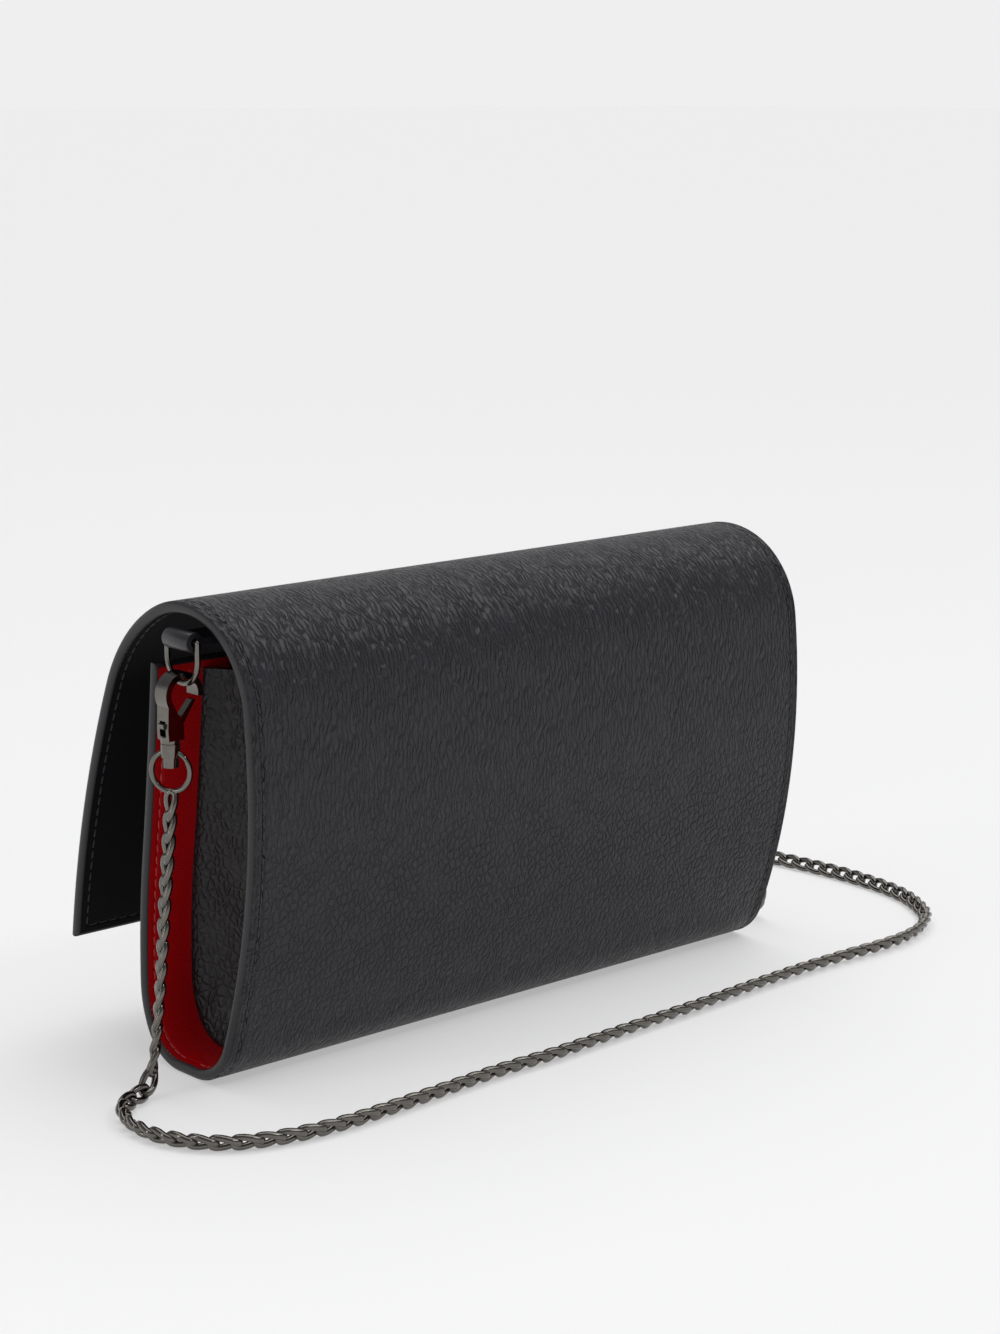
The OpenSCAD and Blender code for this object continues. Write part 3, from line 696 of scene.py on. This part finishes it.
def plated_metal(name, colour, roughness):
    """Dark nickel, plated on polished cast zinc and steel: sharp dark reflections with a ripple of 2.4 mm and
    wear of 0.4 mm, both faint."""
    mat, tree, shader = tree_of(name)
    place = object_place(tree)
    rippled = node(tree, "ShaderNodeTexNoise", {"Vector": place}, {"Scale": 420.0, "Detail": 2.0})
    ripple = rippled.outputs["Fac"]
    scuffs = node(tree, "ShaderNodeTexNoise", {"Vector": place}, {"Scale": 2600.0, "Detail": 3.0})
    bump = node(tree, "ShaderNodeBump", {"Height": ripple}, {"Strength": 0.35, "Distance": 0.00006})
    tree.links.new(bump.outputs[0], shader.inputs["Normal"])
    dark = tuple(c * 0.82 for c in colour)
    light = tuple(min(1.0, c * 1.2) for c in colour)
    tree.links.new(blended(tree, ripple, dark, light), shader.inputs["Base Color"])
    rough = stepped(tree, scuffs.outputs["Fac"], 0.3, 0.72, roughness - 0.05, roughness + 0.08)
    tree.links.new(rough, shader.inputs["Roughness"])
    shader.inputs["Metallic"].default_value = 1.0
    return mat


def woven_tape(name, colour):
    """Zip tape, woven polyester: ribs 0.45 mm apart both ways, and no gloss."""
    mat, tree, shader = tree_of(name)
    place = object_place(tree)
    warp = node(tree, "ShaderNodeTexWave", {"Vector": place}, {"Scale": 700.0, "Distortion": 0.4},
                bands_direction="X").outputs["Fac"]
    weft = node(tree, "ShaderNodeTexWave", {"Vector": place}, {"Scale": 700.0, "Distortion": 0.4},
                bands_direction="Y").outputs["Fac"]
    height = maths(tree, "ADD", warp, weft)
    bump = node(tree, "ShaderNodeBump", {"Height": height}, {"Strength": 0.7, "Distance": 0.00008})
    tree.links.new(bump.outputs[0], shader.inputs["Normal"])
    shader.inputs["Base Color"].default_value = (*colour, 1)
    shader.inputs["Roughness"].default_value = 0.85
    shader.inputs["Sheen Weight"].default_value = 0.3
    return mat


def fibre_board(name):
    """Bonded leatherboard, pressed from brown leather fibres about 1 mm long: matt and mottled."""
    mat, tree, shader = tree_of(name)
    place = object_place(tree)
    pressed = node(tree, "ShaderNodeTexNoise", {"Vector": place}, {"Scale": 900.0, "Detail": 5.0})
    fibres = pressed.outputs["Fac"]
    bump = node(tree, "ShaderNodeBump", {"Height": fibres}, {"Strength": 0.6, "Distance": 0.00006})
    tree.links.new(bump.outputs[0], shader.inputs["Normal"])
    tree.links.new(blended(tree, fibres, linear("504235"), linear("736350")), shader.inputs["Base Color"])
    shader.inputs["Roughness"].default_value = 0.9
    return mat


MATERIALS = {}


def make_materials():
    """Every material of the wallet, by name."""
    colours = bpy.context.scene.wallet_colours
    leather = tuple(colours.leather)
    red = tuple(colours.red)
    dark = tuple(colours.dark)
    metal = tuple(colours.metal)
    MATERIALS.update({
        "skin": pebbled_leather("Pebbled black leather", leather, skin_uv, bends_back),
        "front": pebbled_leather("Pebbled black leather, front", leather, skin_uv, hardly_bends),
        # Painted shade: the gusset is the same black pebbled leather, painted at 0.6 of its colour for the
        # shade in the recessed ends.
        "gusset": pebbled_leather("Pebbled black leather, gusset, painted shade", tuple(c * 0.6 for c in leather), skin_uv,
                                  hardly_bends, 0.2),
        "edge": smooth_leather("Painted edge", tuple(colours.edge), 0.42, 0.0, skin_uv, 0.01, 0.00002),
        "tab": smooth_leather("Smooth black leather", leather, 0.38, 0.15, object_place, 0.001),
        # The dark lining's colour is partly its own black and partly painted shade of the flap's underside.
        "dark": smooth_leather("Smooth black lining, partly painted shade", dark, 0.6, 0.0, skin_uv, 0.01, 0.00003, 0.15),
        "red": smooth_leather("Smooth red lining", red, 0.3, 0.25, skin_uv, 0.01, 0.00002),
        "red_solid": smooth_leather("Red lining, cut", red, 0.34, 0.2, object_place, 0.001, 0.00002),
        "black_thread": thread_material("Black waxed thread", linear("0d0d10")),
        "red_thread": thread_material("Red waxed thread", linear("bc2727")),
        "metal": plated_metal("Dark nickel plating", metal, 0.14),
        "steel": plated_metal("Bright spring steel", linear("cecdca"), 0.25),
        "tape": woven_tape("Black zip tape", linear("1d1d22")),
        "board": fibre_board("Bonded leatherboard"),
    })


def wear(obj, key):
    """obj takes the material named key."""
    obj.data.materials.clear()
    obj.data.materials.append(MATERIALS[key])
    return obj


# ---------------------------------------------------------------- baking the skins' transforms


def bends_with_flap(obj):
    """Bakes obj's transform into its mesh."""
    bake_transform(obj)


def bends_with_front(obj):
    """Bakes obj's transform into its mesh."""
    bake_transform(obj)


# ---------------------------------------------------------------- operators


# The camera's place in metres, the way it looks in degrees, and its lens in mm.
CAMERA_PLACE = (0.4906, 0.5594, 0.2468)
CAMERA_AZIMUTH = 138.13
CAMERA_ELEVATION = 11.68
CAMERA_LENS = 75.42


class WALLET_OT_camera(bpy.types.Operator):
    """Places the camera at the end of the wallet, low on the back's side"""

    bl_idname = "wallet.camera"
    bl_label = "Camera"

    def execute(self, context):
        data = bpy.data.cameras.new("camera")
        data.lens = CAMERA_LENS
        data.sensor_width = 36
        data.clip_start = 0.01
        cam = bpy.data.objects.new("camera", data)
        context.scene.collection.objects.link(cam)
        azimuth = math.radians(CAMERA_AZIMUTH)
        elevation = math.radians(CAMERA_ELEVATION)
        cam.location = CAMERA_PLACE
        look = Vector((-math.sin(azimuth) * math.cos(elevation), math.cos(azimuth) * math.cos(elevation),
                       -math.sin(elevation)))
        cam.rotation_euler = look.to_track_quat("-Z", "Y").to_euler()
        context.scene.camera = cam
        return {"FINISHED"}


class WALLET_OT_chain(bpy.types.Operator):
    """Makes both halves of the curb chain, link by link"""

    bl_idname = "wallet.chain"
    bl_label = "Chain"

    def execute(self, context):
        sizes = context.scene.wallet_sizes
        for side, route, sign in (("right", RIGHT_ROUTE, 1), ("left", LEFT_ROUTE, -1)):
            obj, path, total = build_chain("curb_chain_" + side, route, sizes, sign)
            wear(obj, "metal")
            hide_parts("chain_" + side)
            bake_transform(obj)
        return {"FINISHED"}


class WALLET_OT_wrap(bpy.types.Operator):
    """Makes the outer leather, the linings and the painted edges"""

    bl_idname = "wallet.wrap"
    bl_label = "Leather wrap"

    def execute(self, context):
        sizes = context.scene.wallet_sizes
        half = sizes.length / MM / 2
        wall = sizes.wall / MM
        leather = sizes.leather / MM
        lining = wall - sizes.lining / MM
        xs = rim_spaced(half, ACROSS_STEP)

        def leather_back(e):
            return leather

        def lining_back(e):
            return lining

        def lining_face(e):
            return wall - lining_depth(e)

        skin = slab("outer_leather", BACK, xs, end_spaced(0, BACK_END, LEATHER_STEP), skin_depth,
                    leather_back)
        wear(skin, "skin")
        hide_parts("shell_leather", "bend_leather", "flap_leather")
        bends_with_flap(skin)
        front = slab("front_leather_skin", FRONT, xs, end_spaced(0, FRONT_END, LEATHER_STEP), skin_depth,
                     leather_back)
        wear(front, "front")
        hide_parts("front_leather")
        bends_with_front(front)
        dark = slab("flap_lining_skin", BACK, xs, end_spaced(RED_END, BACK_END, LINING_STEP), lining_face,
                    lining_back)
        wear(dark, "dark")
        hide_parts("arch_lining", "bend_lining", "flap_lining")
        bends_with_flap(dark)
        red = slab("back_lining_skin", BACK, xs, even(0, RED_END, PLAIN_STEP), lining_face, lining_back,
                   end_rim=False)
        wear(red, "red")
        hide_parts("shell_lining")
        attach(red, "shell")
        red_front = slab("front_lining_skin", FRONT, xs, end_spaced(0, FRONT_END, LINING_STEP), lining_face,
                         lining_back)
        wear(red_front, "red")
        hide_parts("front_lining")
        bends_with_front(red_front)
        bead = edge_bead("painted_edge", BACK, half, 0, BACK_END, EDGE_SECTION, LEATHER_STEP)
        wear(bead, "edge")
        bends_with_flap(bead)
        bead_front = edge_bead("painted_edge_front", FRONT, half, 0, FRONT_END, EDGE_SECTION, LEATHER_STEP)
        wear(bead_front, "edge")
        bends_with_front(bead_front)

        def board_face(e):
            return lining - BOARD_CLEAR

        def board_back(e):
            return leather + BOARD_CLEAR

        plain = even(-half + BOARD_INSET, half - BOARD_INSET, ACROSS_STEP)
        boards = (("back_board_sheet", even(0, BEND_FROM, LEATHER_STEP), "shell_board"),
                  ("flap_board_sheet", even(BEND_TO, BACK_END - BOARD_INSET, LEATHER_STEP), "flap_board"))
        for name, stations, replaced in boards:
            board = slab(name, BACK, plain, stations, board_face, board_back, end_rim=False)
            wear(board, "board")
            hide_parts(replaced)
            bends_with_flap(board)
        low = slab("bottom_board_sheet", FRONT, plain, even(0, FRONT_ROOT, LEATHER_STEP), board_face,
                   board_back, end_rim=False)
        wear(low, "board")
        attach(low, "shell")
        wear(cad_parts["front_board"], "board")
        return {"FINISHED"}


class WALLET_OT_stitching(bpy.types.Operator):
    """Sews the rims: black thread outside and on the dark lining, red thread on the red lining"""

    bl_idname = "wallet.stitching"
    bl_label = "Stitching"

    def execute(self, context):
        sizes = context.scene.wallet_sizes
        half = sizes.length / MM / 2
        inset = sizes.stitch_in / MM
        pitch = sizes.stitch_pitch / MM
        wall = sizes.wall / MM
        long = pitch * STITCH_FILL
        under = wall - LINING_THREAD_DEPTH
        outer = thread("stitches_back", BACK, rim_spots(half, inset, 1, BACK_END, pitch), OUTER_THREAD_DEPTH,
                       OUTER_THREAD_RADIUS, long)
        wear(outer, "black_thread")
        bends_with_flap(outer)
        front = thread("stitches_front", FRONT, rim_spots(half, inset, 1, FRONT_END, pitch),
                       OUTER_THREAD_DEPTH, OUTER_THREAD_RADIUS, long)
        wear(front, "black_thread")
        bends_with_front(front)
        flap_spots = rim_spots(half, LINING_STITCH_IN, RED_END + 2, BACK_END, pitch)
        inner = thread("stitches_flap_lining", BACK, flap_spots, under, LINING_THREAD_RADIUS, long)
        wear(inner, "black_thread")
        bends_with_flap(inner)
        red_spots = rim_spots(half, LINING_STITCH_IN, 0, RED_END, pitch, end_row=False)
        back = thread("stitches_back_lining", BACK, red_spots, under, LINING_THREAD_RADIUS, long)
        wear(back, "red_thread")
        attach(back, "shell")
        front_spots = rim_spots(half, LINING_STITCH_IN, 1, FRONT_END, pitch)
        lined = thread("stitches_front_lining", FRONT, front_spots, under, LINING_THREAD_RADIUS, long)
        wear(lined, "red_thread")
        bends_with_front(lined)
        return {"FINISHED"}


# The gusset, in mm: its top, where its fold stands and starts, its place along the wallet, how far the fold
# goes in and how far from the fold that fades out, and its thickness.
GUSSET_TOP = 103.0
GUSSET_FOLD_Y = 5.5
GUSSET_FOLD_LOW = 15.0
GUSSET_EDGE_X = 83.0
GUSSET_FOLD_IN = 6.5
GUSSET_FADE = 12
GUSSET_THICK = 1.2


def gusset_outline(top, wall):
    """The inside of the wall from the front's top, under the bottom, to the back's top, in mm."""

    def clear(run, s):
        base, inward, _ = run.frame(s)
        return base + inward * wall

    front = [clear(FRONT, s) for s in even(0, FRONT_END, PLAIN_STEP)][::-1]
    back = [clear(BACK, s) for s in even(0, RED_END + 4, PLAIN_STEP)][1:]
    front = [p for p in front if p.z <= top]
    back = [p for p in back if p.z <= top]
    first = front[0].copy()
    first.z = top
    last = back[-1].copy()
    last.z = top
    return [first] + front + back + [last]


class WALLET_OT_gussets(bpy.types.Operator):
    """Makes the folded end gussets"""

    bl_idname = "wallet.gussets"
    bl_label = "Gussets"

    def execute(self, context):
        outline = gusset_outline(GUSSET_TOP, context.scene.wallet_sizes.wall / MM)
        across = (0.0, 0.03, 0.07, 0.13, 0.22, 0.34, 0.48, 0.62, 0.75, 0.85, 0.92, 0.97, 1.0)

        def bulge(t):
            """How the gusset swells beside the wall and hollows half way to its fold, in mm."""
            return 1.1 * math.exp(-(((t - 0.1) / 0.09) ** 2)) - 0.9 * math.exp(-(((t - 0.5) / 0.3) ** 2))

        for side, sign in (("right", 1), ("left", -1)):
            points, uvs, faces = [], [], []
            for face in (0, 1):
                for p in outline:
                    fold = Vector((0, GUSSET_FOLD_Y, min(GUSSET_TOP, max(GUSSET_FOLD_LOW, p.z))))
                    for t in across:
                        q = p.lerp(fold, t)
                        eased = t * t * (3 - 2 * t) * 0.35 + t * 0.65
                        depth = min(1.0, (p - fold).length / GUSSET_FADE)
                        x = GUSSET_EDGE_X - GUSSET_FOLD_IN * eased * depth + bulge(t) * depth * 0.6
                        x -= face * GUSSET_THICK
                        x += 0.5 * math.sin(q.z / 9.0 + t * 3) * (1 - t) * t * 4
                        points.append(Vector((sign * x, q.y, q.z)) * MM)
                        uvs.append((q.y / 100 + 0.3, q.z / 100))
            n = len(across)
            half = n * len(outline)
            for j in range(len(outline) - 1):
                for i in range(n - 1):
                    a = j * n + i
                    faces.append((a, a + 1, a + n + 1, a + n))
                    faces.append((half + a, half + a + n, half + a + n + 1, half + a + 1))
                a = j * n
                faces.append((a, a + n, half + a + n, half + a))
            for i in range(n - 1):
                b = (len(outline) - 1) * n + i
                faces.append((i, half + i, half + i + 1, i + 1))
                faces.append((b, b + 1, half + b + 1, half + b))
            obj = add_mesh("gusset_skin_" + side, points, faces, uvs)
            outward(obj)
            wear(obj, "gusset")
            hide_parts("gusset_" + side)
            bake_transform(obj)
        return {"FINISHED"}


# Each finish with the fittings that have it.
FINISHES = {
    "metal": ("zip_teeth", "zip_stops", "zip_slider", "zip_puller", "snap_socket", "snap_socket_plate",
              "snap_stud", "snap_stud_plate", "d_ring_right", "d_ring_left", "hook_body_right",
              "hook_body_left", "hook_gate_right", "hook_gate_left", "gate_pin_right", "gate_pin_left",
              "swivel_barrel_right", "swivel_barrel_left", "jump_ring_right", "jump_ring_left"),
    "steel": ("gate_spring_right", "gate_spring_left"),
    "tape": ("zip_tape_front", "zip_tape_back"),
    "red_solid": ("card_panel", "card_slot_top", "card_slot_middle", "card_slot_bottom", "pocket_shell"),
    "tab": ("ring_tab_right", "ring_tab_left"),
}

# How far each fitting's edges are rounded, in mm.
ROUNDED = {
    "hook_body_right": 0.35, "hook_body_left": 0.35, "hook_gate_right": 0.2, "hook_gate_left": 0.2,
    "swivel_barrel_right": 0.3, "swivel_barrel_left": 0.3, "zip_slider": 0.2, "zip_puller": 0.25,
    "snap_socket": 0.35, "snap_stud": 0.3, "ring_tab_right": 0.35, "ring_tab_left": 0.35,
    "zip_teeth": 0.15, "zip_stops": 0.3, "card_panel": 0.25, "card_slot_top": 0.25,
    "card_slot_middle": 0.25, "card_slot_bottom": 0.25, "pocket_shell": 0.3,
}


class WALLET_OT_fittings(bpy.types.Operator):
    """Finishes the fittings, zip, pocket and card slots, and rounds their edges"""

    bl_idname = "wallet.fittings"
    bl_label = "Fittings"

    def execute(self, context):
        for key, names in FINISHES.items():
            for name in names:
                wear(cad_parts[name], key)
        for name, size in ROUNDED.items():
            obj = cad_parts[name]
            weld = obj.modifiers.new("weld", "WELD")
            weld.merge_threshold = 1e-6
            flat = obj.modifiers.new("flat", "DECIMATE")
            flat.decimate_type = "DISSOLVE"
            flat.angle_limit = math.radians(0.6)
            bevel = obj.modifiers.new("bevel", "BEVEL")
            bevel.width = size * MM
            bevel.segments = 3
            bevel.limit_method = "ANGLE"
            bevel.angle_limit = math.radians(34)
            bevel.harden_normals = True
        return {"FINISHED"}


# The studio: half the floor's width in metres, its own glow, the overhead light, and the strips as (name,
# place, aim, size, watts, tint).
FLOOR_REACH = 30.0
FLOOR_GLOW = 0.4
OVERHEAD_STRENGTH = 1.75
OVERHEAD_SPREAD = 75
OVERHEAD_WAY = (0.35, 0.15, -1.0)
STRIPS = (
    ("strip_back", (-0.25, 0.8, 1.05), (0, 0, 0.06), (0.9, 0.1), 2.6, (0.96, 0.98, 1)),
    ("strip_end", (0.95, -0.15, 0.45), (0.1, 0, 0.07), (0.08, 0.7), 1.0, (1, 0.97, 0.93)),
)


class WALLET_OT_stage(bpy.types.Operator):
    """Lays the pale floor and lights it softly"""

    bl_idname = "wallet.stage"
    bl_label = "Stage"

    def execute(self, context):
        colours = context.scene.wallet_colours
        mesh = bpy.data.meshes.new("floor")
        corners = [(x * FLOOR_REACH, y * FLOOR_REACH, 0) for x, y in ((-1, -1), (1, -1), (1, 1), (-1, 1))]
        mesh.from_pydata(corners, [], [(0, 1, 2, 3)])
        floor = bpy.data.objects.new("floor", mesh)
        context.scene.collection.objects.link(floor)
        mat, _, shader = tree_of("Matt paper sweep")
        shader.inputs["Base Color"].default_value = (*colours.floor, 1)
        shader.inputs["Roughness"].default_value = 0.95
        shader.inputs["Specular IOR Level"].default_value = 0.0
        shader.inputs["Emission Color"].default_value = (1, 1, 1, 1)
        shader.inputs["Emission Strength"].default_value = FLOOR_GLOW
        mesh.materials.append(mat)
        world = bpy.data.worlds.new("studio")
        context.scene.world = world
        world.use_nodes = True
        sky = world.node_tree
        background = next(n for n in sky.nodes if n.type == "BACKGROUND")
        way = node(sky, "ShaderNodeTexCoord").outputs["Generated"]
        z = node(sky, "ShaderNodeSeparateXYZ", {"Vector": way}).outputs["Z"]
        fade = stepped(sky, z, 0.09, 0.4)
        sky.links.new(blended(sky, fade, linear("efefef"), linear("89898b")), background.inputs["Color"])
        background.inputs["Strength"].default_value = 1.0
        key = bpy.data.lights.new("overhead", "SUN")
        key.energy = OVERHEAD_STRENGTH
        key.angle = math.radians(OVERHEAD_SPREAD)
        lamp = bpy.data.objects.new("overhead", key)
        lamp.rotation_euler = Vector(OVERHEAD_WAY).to_track_quat("-Z", "Y").to_euler()
        context.scene.collection.objects.link(lamp)
        for name, place, aim, size, power, tint in STRIPS:
            data = bpy.data.lights.new(name, "AREA")
            data.shape = "RECTANGLE"
            data.size, data.size_y = size
            data.energy = power
            data.color = tint
            lamp = bpy.data.objects.new(name, data)
            lamp.location = place
            lamp.rotation_euler = (Vector(aim) - Vector(place)).to_track_quat("-Z", "Y").to_euler()
            context.scene.collection.objects.link(lamp)
        context.scene.view_settings.view_transform = "Standard"
        return {"FINISHED"}


STEPS = (WALLET_OT_camera, WALLET_OT_chain, WALLET_OT_wrap, WALLET_OT_stitching, WALLET_OT_gussets,
         WALLET_OT_fittings, WALLET_OT_stage)


class WALLET_PT_panel(bpy.types.Panel):
    """The wallet's sizes and colours, and its steps in order"""

    bl_label = "Wallet"
    bl_idname = "WALLET_PT_panel"
    bl_space_type = "VIEW_3D"
    bl_region_type = "UI"
    bl_category = "Wallet"

    def draw(self, context):
        for group in (context.scene.wallet_sizes, context.scene.wallet_colours):
            for name in type(group).__annotations__:
                self.layout.prop(group, name)
        for step in STEPS:
            self.layout.operator(step.bl_idname)


CLASSES = (WalletSizes, WalletColours, *STEPS, WALLET_PT_panel)


def register():
    for cls in CLASSES:
        bpy.utils.register_class(cls)
    bpy.types.Scene.wallet_sizes = bpy.props.PointerProperty(type=WalletSizes)
    bpy.types.Scene.wallet_colours = bpy.props.PointerProperty(type=WalletColours)


def unregister():
    del bpy.types.Scene.wallet_colours
    del bpy.types.Scene.wallet_sizes
    for cls in reversed(CLASSES):
        bpy.utils.unregister_class(cls)


def main():
    """Builds everything in order."""
    register()
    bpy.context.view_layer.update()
    make_materials()
    for step in STEPS:
        group, name = step.bl_idname.split(".")
        getattr(getattr(bpy.ops, group), name)()


if __name__ == "__main__":
    main()
